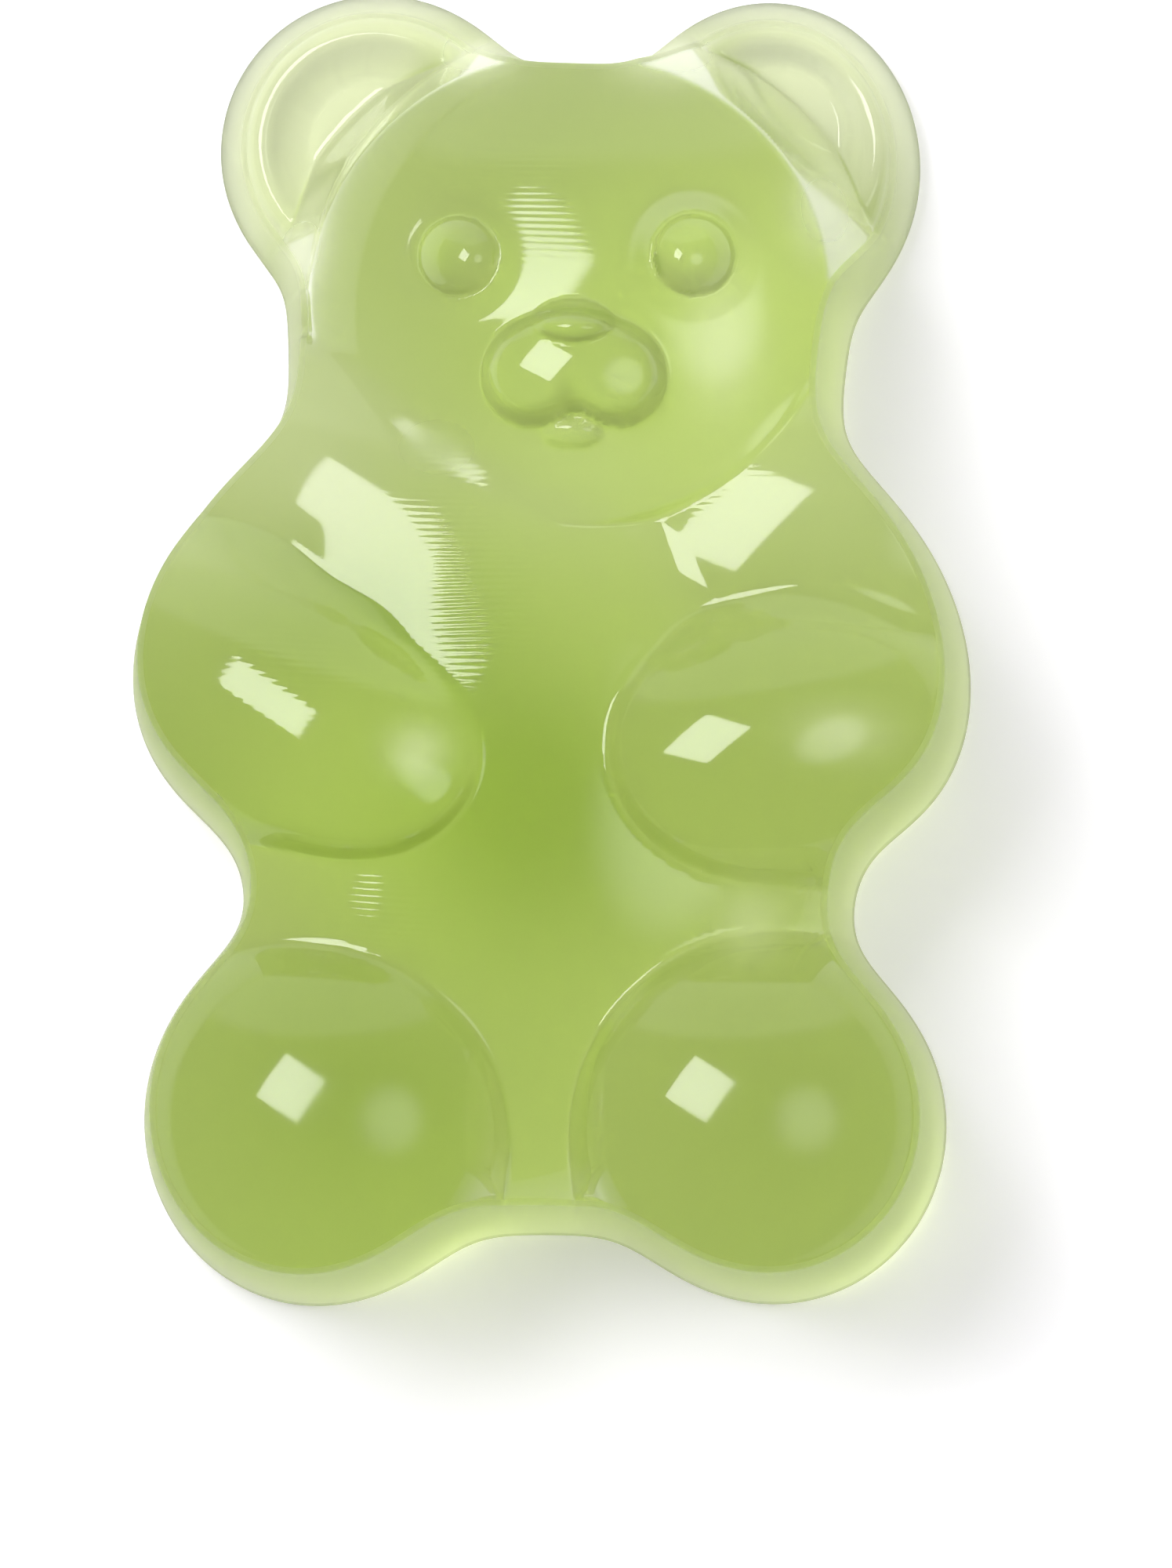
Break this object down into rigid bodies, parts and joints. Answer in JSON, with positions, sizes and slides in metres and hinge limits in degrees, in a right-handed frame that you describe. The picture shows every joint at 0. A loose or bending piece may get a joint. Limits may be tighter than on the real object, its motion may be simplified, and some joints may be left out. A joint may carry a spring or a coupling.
{
  "type": "gummy bear",
  "caption": "Fruit jelly sweet in the shape of a sitting bear, lying on its flat back, with dished ears, raised muzzle, folded arms and round feet.",
  "frame": {"origin": "middle of the outline's box on the flat back, which is the side that the sweet rests on", "axes": "+X to the bear's left hand, +Y from the feet to the ears, +Z out of the belly"},
  "size_m": [0.0141, 0.0221, 0.0096],
  "materials": {
    "jelly": "set fruit jelly, translucent pale green, oiled to a wet shine, with fine ripples left by the mould"
  },
  "bodies": {
    "root": {"gummy_bear": "jelly"}
  },
  "joints": []
}
